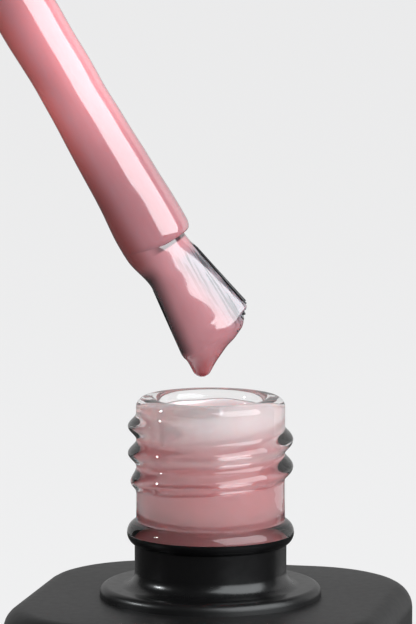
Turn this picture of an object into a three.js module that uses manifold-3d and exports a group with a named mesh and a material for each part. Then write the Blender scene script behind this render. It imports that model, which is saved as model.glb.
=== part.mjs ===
// Nail polish bottle with its cap and brush drawn out, in millimetres.
// +Z is up, the origin is the centre of the base, and the body's four sides face along X and Y.
import * as THREE from 'three';
import { mergeVertices } from 'three/addons/utils/BufferGeometryUtils.js';
import Module from 'manifold-3d';

const wasm = await Module();
wasm.setup();

// ---- Driving dimensions: bottle ----
const BODY_HALF = 15; // half the width across two opposite sides, over the lacquer
const BODY_CORNER_R = 9.2; // upright corners
const BODY_EDGE_R = 1.8; // round-over at the shoulder and the base
const BODY_TOP = 40; // height of the flat shoulder
const LIP_Z = 55.7; // height of the mouth
const COAT = 0.25; // lacquer thickness
const FIT_GAP = 0.3; // clearance between pieces that are held together
const COAT_GAP = 0.25; // clearance under the lacquer and around the polish
const COAT_FOOT = 0.4; // the lacquer stops this far above the base
const WALL = 2.8; // glass thickness at the sides
const FLOOR_Z = 5; // top of the glass base
const CAVITY_TOP = 36.8;
const CAVITY_EDGE_R = 3;
const BORE_R = 3.95;
const NECK_R = 5.83;
const NECK_FOOT_R = 5.95;
const BOSS_R = 8.7; // round step at the foot of the neck
const BOSS_RISE = 0.9;
const BOSS_EDGE_R = 0.6;
const FLARE_R = 1.2; // hollow between the neck and the step
const BEAD_R = 6.55; // crest of the rounded ring below the thread
const BEAD_Z = -10.65; // below the lip
const BEAD_ROUND = 1;
const BEAD_FROM = -66; // degrees round the ring's section at which it leaves the neck
const BEAD_TO = 73; // and at which it meets the neck again
const COAT_TOP = -10.3; // the lacquer begins on the ring, below the lip
const POLISH_LEVEL = -8.7; // below the lip
const FILM_TOP = -1.2;
const LIP_OUTER_R = 0.7;
const LIP_INNER_R = 0.6;
const LABEL_R = 10;
const LABEL_T = 0.5;

// ---- Driving dimensions: 13-415 thread ----
const PITCH = 25.4 / 12;
const NECK_THREAD = { centreR: 5.75, ridgeR: 0.72, top: -1.85, topAngle: 262, turns: 2.25, sign: -1 };
const CAP_THREAD = { centreR: 6.5, ridgeR: 0.45, turns: 1.75, sign: 1 };
const THREAD_RUN_OUT = 40; // degrees over which each end of the ridge sinks away
const THREAD_SINK = 1.2; // how far it sinks, in ridge radii
const CAP_THREAD_LOW = -6.75; // lowest ridge centre, with the cap tight
const TURNS_TO_OPEN = 2.5; // the cap is modelled this far unscrewed

// ---- Driving dimensions: cap and brush, along their own axis from the mouth's plane ----
const SKIRT_LOW = -14;
const CAP_TOP = 26;
const CAP_RIM_R = 8.9;
const CAP_TOP_R = 8.4;
const CAP_EDGE_R = 1.6;
const CAP_ROOF = 2.4; // thickness of the closed end
const CAP_LEDGE = 0.7; // step that the inner cap's top rests under
const CAP_INNER_R = 8.1;
const INNER_CAP_R = CAP_INNER_R - FIT_GAP;
const INNER_CAP_LOW = -9.3;
const INNER_CAP_TOP = 6;
const INNER_CAP_BORE_R = 6.75;
const LINER_R = 6.4;
const LINER_LOW = 0.05;
const LINER_T = 0.6;
const STEM_R = 1.9;
const STEM_BORE_R = 1.5;
const STEM_HEAD_R = 2.5;
const STEM_HEAD_TOP = 4.6;
const STEM_END = -38;
const STEM_BORE_DEPTH = 15;
const TUFT_ROOT_R = STEM_BORE_R - FIT_GAP;
const TUFT_ROOT = 4; // how far the tuft reaches into the stem
const TUFT_LENGTH = 8.4;
const TUFT_COVER = FIT_GAP + 0.35; // from the tuft's side to the outside of its polish
const STEM_COAT_R = 2.5;
const STEM_COAT_FOOT_R = 2.78;
const STEM_COAT_TOP = -9.6;
const STAPLE = { width: 1.9, depth: 0.6, height: 1.1 };
const DRIP_TIP = { x: -2.42, z: -10.7 }; // from the stem's end
const DRIP_R = 0.8; // round tip
const DRIP_DRAWN = { from: 2.3, slope: 0.35 }; // above this height it draws over to the cut
const DRIP_FLAT = { least: 0.56, slope: 0.11 }; // it is round at the tip and flatter higher up
const LOAD_WAIST = 0.5; // how far the polish draws in below the stem
const LOAD_BELLY = 0.6; // how far it swells again towards the low corner
const LOAD_RIGHT = { from: 2.1, flare: 0.18 };
const LOAD_DEPTH = { from: 2.3, upper: 0.6, lower: 0.4 };
const CUT_TIP = 0.28; // slope of the cut, which is higher on the right

// ---- Where the brush is held ----
const BRUSH_TILT = 30; // degrees from upright, top towards the left
const BRUSH_YAW = 12; // degrees from the body's front side to the plane in which the brush leans
const STEM_END_AT = { x: -3.89, z: 11.98 }; // centre of the stem's end, from the mouth's centre

const ROUND = 26; // sides of a turned solid
const DEG = Math.PI / 180;

const LOOK = {
  glass: { color: 0xe6e2e2, roughness: 0.05, metalness: 0 },
  lacquer: { color: 0x141416, roughness: 0.42, metalness: 0 },
  polish: { color: 0xd0848c, roughness: 0.12, metalness: 0 },
  paper: { color: 0xe9e7e4, roughness: 0.8, metalness: 0 },
  capPlastic: { color: 0x18181a, roughness: 0.45, metalness: 0 },
  innerPlastic: { color: 0x242426, roughness: 0.55, metalness: 0 },
  liner: { color: 0xdad7d2, roughness: 0.7, metalness: 0 },
  stem: { color: 0x1b1a1b, roughness: 0.35, metalness: 0 },
  bristle: { color: 0x0d0d0e, roughness: 0.4, metalness: 0 },
  staple: { color: 0xc9a65a, roughness: 0.3, metalness: 1 },
};

// ---- Helpers ----

/** A closed geometry with shared corners, no empty triangles and its faces pointing out. */
function closed(source) {
  const bare = source.index ? source.toNonIndexed() : source.clone();
  bare.deleteAttribute('normal');
  bare.deleteAttribute('uv');
  const welded = mergeVertices(bare, 1e-4);
  const at = welded.attributes.position;
  const [a, b, c] = [new THREE.Vector3(), new THREE.Vector3(), new THREE.Vector3()];
  const kept = [];
  let volume = 0;
  for (let i = 0; i < welded.index.count; i += 3) {
    const corner = [0, 1, 2].map((k) => welded.index.getX(i + k));
    if (new Set(corner).size < 3) continue;
    kept.push(corner);
    [a, b, c].forEach((v, k) => v.fromBufferAttribute(at, corner[k]));
    volume += a.dot(b.cross(c));
  }
  welded.setIndex(kept.flatMap(([p, q, r]) => (volume < 0 ? [p, r, q] : [p, q, r])));
  return welded;
}

function solid(geometry) {
  const clean = closed(geometry);
  return new wasm.Manifold(
    new wasm.Mesh({
      numProp: 3,
      vertProperties: new Float32Array(clean.attributes.position.array),
      triVerts: new Uint32Array(clean.index.array),
    }),
  );
}

function geometryOf(body) {
  const mesh = body.getMesh();
  const geometry = new THREE.BufferGeometry();
  geometry.setAttribute('position', new THREE.BufferAttribute(mesh.vertProperties, 3));
  geometry.setIndex(new THREE.BufferAttribute(mesh.triVerts, 1));
  return geometry;
}

function piece(name, body, look) {
  const geometry = geometryOf(body);
  geometry.computeVertexNormals();
  const mesh = new THREE.Mesh(geometry, new THREE.MeshStandardMaterial(look));
  mesh.name = name;
  return mesh;
}

/** A solid turned about Z from [radius, height] points that start and end on the axis or close. */
function turned(points, sides = ROUND) {
  const profile = points.map(([r, z]) => new THREE.Vector2(r, z));
  return solid(new THREE.LatheGeometry(profile, sides).rotateX(Math.PI / 2));
}

/** Points of a circular arc in [radius, height], from one angle to another in degrees. */
function arc(r, z, radius, from, to, steps) {
  return Array.from({ length: steps + 1 }, (_, i) => {
    const angle = (from + ((to - from) * i) / steps) * DEG;
    return [r + radius * Math.cos(angle), z + radius * Math.sin(angle)];
  });
}

function roundedSquare(half, corner) {
  const flat = half - corner;
  const shape = new THREE.Shape();
  shape.absarc(flat, flat, corner, 0, Math.PI / 2);
  shape.absarc(-flat, flat, corner, Math.PI / 2, Math.PI);
  shape.absarc(-flat, -flat, corner, Math.PI, 1.5 * Math.PI);
  shape.absarc(flat, -flat, corner, 1.5 * Math.PI, 2 * Math.PI);
  return shape;
}

/** A block on a rounded-square outline with both ends rounded over. */
function roundedBlock(half, corner, edge, low, high) {
  const geometry = new THREE.ExtrudeGeometry(roundedSquare(half - edge, corner - edge), {
    depth: high - low - 2 * edge,
    bevelSize: edge,
    bevelThickness: edge,
    bevelSegments: 3,
    curveSegments: 3,
  });
  return solid(geometry.translate(0, 0, low + edge));
}

/** The centre line of a thread ridge, from its top end downwards, sinking in radius at both ends. */
class ThreadLine extends THREE.Curve {
  constructor(thread) {
    super();
    this.thread = thread;
  }
  getPoint(t, target = new THREE.Vector3()) {
    const { centreR, ridgeR, top, topAngle, turns, sign } = this.thread;
    const swept = t * turns * 360;
    const fromEnd = Math.min(swept, turns * 360 - swept);
    const sunk = 1 - Math.sin(Math.min(1, fromEnd / THREAD_RUN_OUT) * 90 * DEG);
    const radius = centreR + sign * sunk * THREAD_SINK * ridgeR;
    const angle = (topAngle - swept) * DEG;
    return target.set(radius * Math.cos(angle), radius * Math.sin(angle), top - (PITCH * swept) / 360);
  }
}

function threadRidge(thread) {
  const section = new THREE.Shape().absarc(0, 0, thread.ridgeR, 0, 2 * Math.PI);
  return solid(
    new THREE.ExtrudeGeometry(section, {
      steps: Math.round(thread.turns * 20),
      curveSegments: 5,
      bevelEnabled: false,
      extrudePath: new ThreadLine(thread),
    }),
  );
}

/** The same geometry with each of its points moved. */
function reshaped(geometry, move) {
  const at = geometry.attributes.position;
  for (let i = 0; i < at.count; i++) {
    at.setXYZ(i, ...move(at.getX(i), at.getY(i), at.getZ(i)));
  }
  return geometry;
}

/** A cylinder whose rings follow shape(z): left and right edge, half-depth, and tip to one side. */
function loft(low, high, rings, sides, shape) {
  const cylinder = new THREE.CylinderGeometry(1, 1, high - low, sides, rings).rotateX(Math.PI / 2);
  cylinder.translate(0, 0, (high + low) / 2);
  const follow = (x, y, z) => {
    const { left, right, depth, tip } = shape(z);
    const across = (x * (left + right)) / 2;
    return [(right - left) / 2 + across, y * depth, z + tip * across];
  };
  return solid(reshaped(cylinder, follow));
}

/** A smooth step from 0 to 1. */
function ease(share) {
  const t = Math.min(1, Math.max(0, share));
  return t * t * (3 - 2 * t);
}

// ---- Bottle ----

/** The bottle's outside below the lacquer's top, drawn in by an inset. */
function lacqueredForm(inset) {
  const z = (below) => LIP_Z + below;
  const body = roundedBlock(
    BODY_HALF - inset,
    BODY_CORNER_R - inset,
    BODY_EDGE_R,
    0,
    BODY_TOP - inset,
  );
  const low = BODY_TOP - WALL;
  const top = BODY_TOP - inset;
  const neckR = NECK_FOOT_R - inset;
  const boss = BOSS_R - inset;
  const neckFoot = turned([
    [0, low],
    [boss, low],
    ...arc(boss - BOSS_EDGE_R, top + BOSS_RISE - BOSS_EDGE_R, BOSS_EDGE_R, 0, 90, 3),
    ...arc(neckR + FLARE_R, top + BOSS_RISE + FLARE_R, FLARE_R, 270, 180, 4),
    ...arc(BEAD_R - BEAD_ROUND - inset, z(BEAD_Z), BEAD_ROUND, BEAD_FROM, -BEAD_FROM, 6),
    [0, z(BEAD_Z) + BEAD_ROUND],
  ]);
  return body.add(neckFoot);
}

/** The space inside the glass, drawn in by an inset, up to a height below the lip. */
function inside(inset, top) {
  const cavity = roundedBlock(
    BODY_HALF - COAT - COAT_GAP - WALL - inset,
    BODY_CORNER_R - COAT - COAT_GAP - WALL - inset,
    CAVITY_EDGE_R,
    FLOOR_Z + inset,
    CAVITY_TOP - inset,
  );
  const bore = turned([
    [0, CAVITY_TOP - 2],
    [BORE_R - inset, CAVITY_TOP - 2],
    [BORE_R - inset, LIP_Z + top],
    [0, LIP_Z + top],
  ]);
  return cavity.add(bore);
}

function glassBottle() {
  const below = lacqueredForm(COAT + COAT_GAP);
  const bareFrom = LIP_Z + COAT_TOP + COAT_GAP;
  const bareAngle = Math.asin((bareFrom - LIP_Z - BEAD_Z) / BEAD_ROUND) / DEG;
  const neck = turned([
    [0, bareFrom],
    ...arc(BEAD_R - BEAD_ROUND, LIP_Z + BEAD_Z, BEAD_ROUND, bareAngle, BEAD_TO, 4),
    ...arc(NECK_R - LIP_OUTER_R, LIP_Z - LIP_OUTER_R, LIP_OUTER_R, 0, 90, 4),
    [0, LIP_Z],
  ]);
  const rings = threadRidge({ ...NECK_THREAD, top: LIP_Z + NECK_THREAD.top });
  const mouth = turned([
    [0, LIP_Z - LIP_INNER_R - 0.4],
    [BORE_R - 0.05, LIP_Z - LIP_INNER_R - 0.4],
    ...arc(BORE_R + LIP_INNER_R, LIP_Z - LIP_INNER_R, LIP_INNER_R, 180, 90, 3),
    [BORE_R + LIP_INNER_R, LIP_Z + 1],
    [0, LIP_Z + 1],
  ]);
  const labelSeat = turned([
    [0, -1],
    [LABEL_R + FIT_GAP, -1],
    [LABEL_R + FIT_GAP, LABEL_T + FIT_GAP],
    [0, LABEL_T + FIT_GAP],
  ]);
  const hollow = inside(0, 1).add(mouth).add(labelSeat);
  return piece('glass_bottle', below.add(neck).add(rings).subtract(hollow), LOOK.glass);
}

function lacquerCoat() {
  const low = COAT_FOOT;
  const high = LIP_Z + COAT_TOP;
  const tall = high - low;
  const band = solid(new THREE.BoxGeometry(60, 60, tall).translate(0, 0, low + tall / 2));
  const skin = lacqueredForm(0).subtract(lacqueredForm(COAT)).intersect(band);
  return piece('lacquer_coat', skin, LOOK.lacquer);
}

function polishFill() {
  return piece('polish_fill', inside(COAT_GAP, POLISH_LEVEL), LOOK.polish);
}

function neckFilm() {
  const [outer, low, high] = [BORE_R - COAT_GAP, LIP_Z + POLISH_LEVEL + FIT_GAP, LIP_Z + FILM_TOP];
  const inner = outer - COAT;
  const film = turned([[inner, low], [outer, low], [outer, high], [inner, high], [inner, low]]);
  return piece('neck_film', film, LOOK.polish);
}

function baseLabel() {
  return piece('base_label', turned([[0, 0], [LABEL_R, 0], [LABEL_R, LABEL_T], [0, LABEL_T]]), LOOK.paper);
}

// ---- Cap and brush, standing upright with the mouth's plane at zero ----

function outerCap() {
  const roof = CAP_TOP - CAP_ROOF;
  const shell = turned([
    [CAP_INNER_R, SKIRT_LOW],
    [CAP_RIM_R - 0.2, SKIRT_LOW],
    [CAP_RIM_R, SKIRT_LOW + 0.3],
    ...arc(CAP_TOP_R - CAP_EDGE_R, CAP_TOP - CAP_EDGE_R, CAP_EDGE_R, 0, 90, 5),
    [0, CAP_TOP],
    [0, roof],
    [CAP_INNER_R - CAP_LEDGE, roof],
    [CAP_INNER_R - CAP_LEDGE, INNER_CAP_TOP + FIT_GAP],
    [CAP_INNER_R, INNER_CAP_TOP + FIT_GAP],
    [CAP_INNER_R, SKIRT_LOW],
  ]);
  return piece('outer_cap', shell, LOOK.capPlastic);
}

/** The cap's ridge, half a pitch away from the neck's once the cap is screwed tight. */
function capRidge() {
  const { turns } = CAP_THREAD;
  const top = CAP_THREAD_LOW + turns * PITCH;
  const fallen = NECK_THREAD.top - PITCH / 2 - top;
  const tightAngle = NECK_THREAD.topAngle - (fallen / PITCH) * 360 - BRUSH_YAW;
  return threadRidge({ ...CAP_THREAD, top, topAngle: tightAngle + TURNS_TO_OPEN * 360 });
}

function innerCap() {
  const seat = LINER_LOW + LINER_T + FIT_GAP;
  const socket = STEM_HEAD_R + FIT_GAP;
  const cup = turned([
    [0, INNER_CAP_TOP],
    [0, STEM_HEAD_TOP + FIT_GAP],
    [socket, STEM_HEAD_TOP + FIT_GAP],
    [socket, seat],
    [INNER_CAP_BORE_R, seat],
    [INNER_CAP_BORE_R, INNER_CAP_LOW + 0.4],
    [INNER_CAP_BORE_R + 0.3, INNER_CAP_LOW],
    [INNER_CAP_R, INNER_CAP_LOW],
    [INNER_CAP_R, INNER_CAP_TOP - 0.4],
    [INNER_CAP_R - 0.4, INNER_CAP_TOP],
    [0, INNER_CAP_TOP],
  ]);
  return piece('inner_cap', cup.add(capRidge()), LOOK.innerPlastic);
}

function sealLiner() {
  const hole = STEM_R + FIT_GAP;
  const [low, high] = [LINER_LOW, LINER_LOW + LINER_T];
  const disc = turned([[hole, low], [LINER_R, low], [LINER_R, high], [hole, high], [hole, low]]);
  return piece('seal_liner', disc, LOOK.liner);
}

function brushStem() {
  const neck = LINER_LOW + LINER_T + FIT_GAP;
  const rod = turned([
    [0, STEM_HEAD_TOP],
    [STEM_HEAD_R - 0.3, STEM_HEAD_TOP],
    [STEM_HEAD_R, STEM_HEAD_TOP - 0.3],
    [STEM_HEAD_R, neck],
    [STEM_R, neck],
    [STEM_R, STEM_END],
    [STEM_BORE_R, STEM_END],
    [STEM_BORE_R, STEM_END + STEM_BORE_DEPTH],
    [0, STEM_END + STEM_BORE_DEPTH],
  ]);
  return piece('brush_stem', rod, LOOK.stem);
}

/** The outside of the polish on the tuft: as wide as the stem's own coat, then a fan with a low left side. */
function loadShape(z) {
  const below = STEM_END - z;
  return {
    left: STEM_COAT_FOOT_R - LOAD_WAIST * ease(below / 2.6) + LOAD_BELLY * ease((below - 3) / 5.2),
    right: LOAD_RIGHT.from + LOAD_RIGHT.flare * below,
    depth: LOAD_DEPTH.from - LOAD_DEPTH.upper * ease(below / 4) - LOAD_DEPTH.lower * ease((below - 4) / 4.5),
    tip: CUT_TIP * ease(below / TUFT_LENGTH),
  };
}

/** The tuft's outside: round in the stem's bore, and following the polish below it. */
function tuftShape(z, grow) {
  const load = loadShape(z);
  const free = ease((STEM_END - z) / 1.5);
  const size = (outside) => grow + TUFT_ROOT_R + (outside - TUFT_COVER - TUFT_ROOT_R) * free;
  return { left: size(load.left), right: size(load.right), depth: size(load.depth), tip: load.tip };
}

function tuftBody(grow, high) {
  return loft(STEM_END - TUFT_LENGTH - grow, high, 9, 14, (z) => tuftShape(z, grow));
}

function bristleTuft() {
  return piece('bristle_tuft', tuftBody(0, STEM_END + TUFT_ROOT), LOOK.bristle);
}

function tuftStaple() {
  const low = STEM_END + TUFT_ROOT + FIT_GAP;
  const { width, depth, height } = STAPLE;
  const bar = new THREE.BoxGeometry(width, depth, height).translate(0, 0, low + height / 2);
  return piece('tuft_staple', solid(bar), LOOK.staple);
}

function stemPolish() {
  const inner = STEM_R + FIT_GAP;
  const sleeve = turned([
    [inner, STEM_END],
    [STEM_COAT_FOOT_R - 0.15, STEM_END],
    [STEM_COAT_FOOT_R, STEM_END + 0.5],
    [STEM_COAT_R, STEM_END + 13],
    [STEM_COAT_R, STEM_COAT_TOP - 1],
    [inner + 0.1, STEM_COAT_TOP],
    [inner, STEM_COAT_TOP],
    [inner, STEM_END],
  ]);
  return piece('stem_polish', sleeve, LOOK.polish);
}

/** The drop that hangs straight down off the tuft's low corner, drawn over to the cut above it. */
function drip() {
  const profile = [
    [0, 0],
    ...arc(0, DRIP_R, DRIP_R, -60, -15, 2),
    [1.58, 1.9],
    [2.3, 3.1],
    [2.6, 4],
    [2.3, 5],
    [0, 5.6],
  ].map(([r, z]) => new THREE.Vector2(r, z));
  const drop = new THREE.LatheGeometry(profile, 14).rotateX(Math.PI / 2);
  reshaped(drop, (x, y, z) => {
    const over = DRIP_DRAWN.slope * Math.max(0, z - DRIP_DRAWN.from);
    const flat = Math.max(DRIP_FLAT.least, 1 - DRIP_FLAT.slope * z);
    return [x + over, y * flat, z];
  });
  drop.rotateY(BRUSH_TILT * DEG);
  return solid(drop.translate(DRIP_TIP.x, 0, STEM_END + DRIP_TIP.z));
}

function tuftPolish() {
  const coat = loft(STEM_END - TUFT_LENGTH + 0.1, STEM_END - FIT_GAP, 7, 18, loadShape);
  const hollow = tuftBody(FIT_GAP, STEM_END + 1);
  return piece('tuft_polish', coat.add(drip()).subtract(hollow), LOOK.polish);
}

// ---- The object ----

const part = new THREE.Group();
part.add(glassBottle(), lacquerCoat(), polishFill(), neckFilm(), baseLabel());

const brush = new THREE.Group();
brush.add(outerCap(), innerCap(), sealLiner(), brushStem(), tuftStaple());
brush.add(bristleTuft(), stemPolish(), tuftPolish());

// The brush hangs from its stem's end, so it is lowered to that point before it is tilted.
const lean = new THREE.Group();
lean.rotation.y = -BRUSH_TILT * DEG;
lean.position.set(STEM_END_AT.x, 0, LIP_Z + STEM_END_AT.z);
brush.position.z = -STEM_END;
lean.add(brush);

const turn = new THREE.Group();
turn.rotation.z = BRUSH_YAW * DEG;
turn.add(lean);
part.add(turn);

export default part;
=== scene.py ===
# %% [markdown]
# # A nail polish bottle with its brush drawn out
#
# The CAD frame gives every piece its place, its size and the bodies that it moves with. This notebook gives
# the pieces their surfaces: clear moulded glass, sprayed black lacquer, thick wet gel polish and fine nylon
# bristles. Every piece ends up in metres and in the frame's own axes, with the bottle's base on the origin.

import math
import random

import bmesh
import bpy
from mathutils import Matrix, Vector, noise


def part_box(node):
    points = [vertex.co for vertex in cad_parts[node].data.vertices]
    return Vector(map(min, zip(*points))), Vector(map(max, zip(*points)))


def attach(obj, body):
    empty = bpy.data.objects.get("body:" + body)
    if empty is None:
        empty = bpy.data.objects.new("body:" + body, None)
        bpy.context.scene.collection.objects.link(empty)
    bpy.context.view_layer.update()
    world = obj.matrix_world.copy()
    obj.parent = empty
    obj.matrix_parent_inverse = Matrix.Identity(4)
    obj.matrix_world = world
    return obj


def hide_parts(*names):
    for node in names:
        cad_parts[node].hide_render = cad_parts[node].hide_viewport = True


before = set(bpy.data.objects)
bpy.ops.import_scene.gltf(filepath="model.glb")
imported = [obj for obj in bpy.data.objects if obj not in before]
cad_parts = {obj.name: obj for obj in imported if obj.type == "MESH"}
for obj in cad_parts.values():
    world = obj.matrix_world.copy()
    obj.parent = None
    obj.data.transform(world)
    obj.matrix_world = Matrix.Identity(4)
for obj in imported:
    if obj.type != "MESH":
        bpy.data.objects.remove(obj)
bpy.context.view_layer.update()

# %% [markdown]
# ## Sizes
#
# A turned or moulded piece is easiest to read in millimetres, so the profiles below are in millimetres and
# one helper scales them. The lip's height and the body's width come from the frame's own nodes, so a changed
# bottle changes the pieces too.

# %% Sizes that the pieces share
MM = 0.001
LIP_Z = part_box("glass_bottle")[1][2] / MM
BODY_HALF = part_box("lacquer_coat")[1][0] / MM
SHOULDER_Z = LIP_Z - 15.7
BODY_CORNER_R, BODY_EDGE_R = 9.2, 1.8
WALL, FLOOR_Z, CAVITY_TOP = 3.3, 5.0, 36.8
BORE_R, NECK_R, NECK_FOOT_R = 3.95, 5.83, 5.95
BOSS_R, BEAD_R, BEAD_ROUND = 8.7, 6.55, 1.0
BEAD_Z = LIP_Z - 10.65
FLARE_R, BOSS_EDGE_R, COAT_ANGLE = 1.2, 0.6, 0
LIP_OUTER_R, LIP_INNER_R, CAVITY_ROUND, CAVITY_EDGE_R = 0.75, 0.7, 2.2, 3
POLISH_LEVEL = LIP_Z - 8.7
PITCH = 25.4 / 12
THREAD_TOP, THREAD_TOP_ANGLE, THREAD_TURNS = LIP_Z - 1.85, 262.0, 2.25
RIDGE_HALF_WIDTH, RIDGE_HEIGHT, RIDGE_POWER, RUN_OUT = 0.98, 0.64, 1.6, 42.0
STEM_END, STEM_R, STEM_BORE_R, TUFT_LENGTH = -38.0, 1.9, 1.5, 8.4
BRUSH_TILT, BRUSH_YAW = math.radians(30), math.radians(12)
STEM_END_AT = (-3.89, 11.98)
print(f"lip at {LIP_Z:.2f} mm, body {2 * BODY_HALF:.1f} mm across")

# %% [markdown]
# The cap and the brush are modelled upright, with the plane of the bottle's mouth at zero, and one matrix
# then carries them to where the brush is held: the stem's end goes to the origin, is tilted, and is set in
# its place above the mouth.

# %% Where the brush is held
UPRIGHT_TO_HELD = (
    Matrix.Translation((0, 0, LIP_Z))
    @ Matrix.Rotation(BRUSH_YAW, 4, "Z")
    @ Matrix.Translation((STEM_END_AT[0], 0, STEM_END_AT[1]))
    @ Matrix.Rotation(-BRUSH_TILT, 4, "Y")
    @ Matrix.Translation((0, 0, -STEM_END))
)
STANDING = Matrix.Identity(4)
held_tip = UPRIGHT_TO_HELD @ Vector((0, 0, STEM_END))
print("stem's end in mm:", [round(x, 2) for x in held_tip])

# %% [markdown]
# ## Helpers for turned and lofted pieces
#
# A bottle neck, a cap and a stem are all turned shapes, so a profile spun once round is the natural way to
# make them. The spin merges its first and last copies, and points on the axis are welded, so each is closed.


# %% Profiles and spinning
def arc(r, z, radius, start, end, steps):
    """Points along a circular arc, in degrees, as (radius, height)."""
    angles = [math.radians(start + (end - start) * i / steps) for i in range(steps + 1)]
    return [(r + radius * math.cos(a), z + radius * math.sin(a)) for a in angles]


def ease(t):
    """A smooth step from 0 to 1."""
    t = min(1.0, max(0.0, t))
    return t * t * (3 - 2 * t)


def finely(points, step):
    """The same profile with no stretch longer than a step, so that it can carry fine relief."""
    out = [points[0]]
    for (r0, z0), (r1, z1) in zip(points, points[1:]):
        n = max(1, math.ceil(math.hypot(r1 - r0, z1 - z0) / step))
        out += [(r0 + (r1 - r0) * i / n, z0 + (z1 - z0) * i / n) for i in range(1, n + 1)]
    return out


def spun(profile, steps, loop=False):
    """A bmesh of a profile turned once round Z; loop joins the profile's last point to its first."""
    bm = bmesh.new()
    verts = [bm.verts.new((r, 0, z)) for r, z in profile]
    pairs = list(zip(verts, verts[1:])) + ([(verts[-1], verts[0])] if loop else [])
    edges = [bm.edges.new(pair) for pair in pairs]
    bmesh.ops.spin(
        bm, geom=verts + edges, cent=(0, 0, 0), axis=(0, 0, 1), dvec=(0, 0, 0),
        angle=2 * math.pi, steps=steps, use_merge=True, use_duplicate=False,
    )
    bmesh.ops.remove_doubles(bm, verts=bm.verts, dist=1e-5)
    return bm


def open_rims(bm):
    """The loops of edges that border a hole, lowest first."""
    left = {e for e in bm.edges if len(e.link_faces) == 1}
    loops = []
    while left:
        todo, loop = [left.pop()], []
        while todo:
            edge = todo.pop()
            loop.append(edge)
            near = {e for v in edge.verts for e in v.link_edges} & left
            left -= near
            todo += list(near)
        loops.append(loop)
    return sorted(loops, key=lambda loop: sum(v.co.z for e in loop for v in e.verts) / len(loop))


def rounded_block(bm, half, corner, edge, low, high):
    """Adds a block on a rounded-square plan, its ends rounded over, and returns its top face."""
    size = Matrix.Diagonal((2 * half, 2 * half, high - low, 1))
    made = bmesh.ops.create_cube(bm, size=1, matrix=Matrix.Translation((0, 0, (low + high) / 2)) @ size)
    faces = {f for v in made["verts"] for f in v.link_faces}
    sides = {e for f in faces for e in f.edges}
    upright = [e for e in sides if abs(e.verts[0].co.z - e.verts[1].co.z) > 1e-6]
    options = dict(offset_type="OFFSET", affect="EDGES", profile=0.5, material=-1, clamp_overlap=False)
    bmesh.ops.bevel(bm, geom=upright, offset=corner, segments=20, **options)
    ends = [
        e for e in bm.edges
        if abs(e.verts[0].co.z - e.verts[1].co.z) < 1e-6
        and min(abs(e.verts[0].co.z - low), abs(e.verts[0].co.z - high)) < 1e-6
        and max(abs(e.verts[0].co.x), abs(e.verts[0].co.y)) > half - corner - 1e-6
    ]
    bmesh.ops.bevel(bm, geom=ends, offset=edge, segments=8, **options)
    flat = [f for f in bm.faces if all(abs(v.co.z - high) < 1e-5 for v in f.verts)]
    return max(flat, key=lambda f: f.calc_area())


# %% [markdown]
# One finishing helper turns a bmesh into an object: it puts the piece where it belongs, scales it to metres,
# makes the faces point outwards, shades it smooth and keeps its sharp edges crisp. It also hangs the piece on
# an empty for the body that it rides on, and hides the frame's parts that it stands for.


# %% Finishing a piece
def finished(name, bm, place, material, body, stands_for, crisp=None):
    """Makes the object for a bmesh in millimetres; edges sharper than crisp, in degrees, stay crisp."""
    bmesh.ops.transform(bm, matrix=place, verts=bm.verts)
    bmesh.ops.scale(bm, vec=(MM, MM, MM), verts=bm.verts)
    bmesh.ops.recalc_face_normals(bm, faces=bm.faces)
    mesh = bpy.data.meshes.new(name)
    bm.to_mesh(mesh)
    bm.free()
    piece = bpy.data.objects.new(name, mesh)
    bpy.context.scene.collection.objects.link(piece)
    mesh.materials.append(material)
    mesh.shade_smooth()
    if crisp:
        mesh.set_sharp_from_angle(angle=math.radians(crisp))
    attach(piece, body)
    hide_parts(*stands_for)
    print(f"{name}: {len(mesh.polygons)} faces")


# %% [markdown]
# ## Materials
#
# Each finish is a small node tree on the Principled shader. Noise on Object coordinates gives the roughness
# and the bump a little life at the scale of the real finish, and the numbers that are the same all over are
# set on the shader itself.


# %% Node helpers
def new_material(name):
    """A material with its node tree, its Principled shader and its Object coordinates."""
    material = bpy.data.materials.new(name)
    material.use_nodes = True
    tree = material.node_tree
    shader = tree.nodes["Principled BSDF"]
    where = tree.nodes.new("ShaderNodeTexCoord").outputs["Object"]
    return material, tree, shader, where


def add(tree, kind, **settings):
    node = tree.nodes.new(kind)
    for key, value in settings.items():
        if key in node.inputs:
            node.inputs[key].default_value = value
        else:
            setattr(node, key, value)
    return node


def noise_at(tree, where, scale, detail=3.0):
    node = add(tree, "ShaderNodeTexNoise", Scale=scale, Detail=detail)
    tree.links.new(where, node.inputs["Vector"])
    return node.outputs["Fac"]


def between(tree, value, low, high, to_low, to_high):
    """Maps a value smoothly from one range to another."""
    node = add(tree, "ShaderNodeMapRange", interpolation_type="SMOOTHSTEP")
    tree.links.new(value, node.inputs["Value"])
    for key, number in zip(("From Min", "From Max", "To Min", "To Max"), (low, high, to_low, to_high)):
        node.inputs[key].default_value = number
    return node.outputs["Result"]


def mixed(tree, factor, first, second):
    """A colour between two, each a colour or a socket."""
    node = add(tree, "ShaderNodeMix", data_type="RGBA")
    tree.links.new(factor, node.inputs["Factor"])
    for key, colour in (("A", first), ("B", second)):
        socket = next(s for s in node.inputs if s.name == key and s.type == "RGBA")
        if isinstance(colour, tuple):
            socket.default_value = (*colour, 1)
        else:
            tree.links.new(colour, socket)
    return next(s for s in node.outputs if s.type == "RGBA")


def mottled(tree, shader, where, scale, low, high):
    """Lets the roughness wander between two values over the piece."""
    wander = between(tree, noise_at(tree, where, scale), 0.3, 0.7, low, high)
    tree.links.new(wander, shader.inputs["Roughness"])


def bumped(tree, shader, height, strength, distance):
    """Relief from a height; the distance is in metres."""
    node = add(tree, "ShaderNodeBump", Strength=strength, Distance=distance)
    tree.links.new(height, node.inputs["Height"])
    tree.links.new(node.outputs["Normal"], shader.inputs["Normal"])


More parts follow.
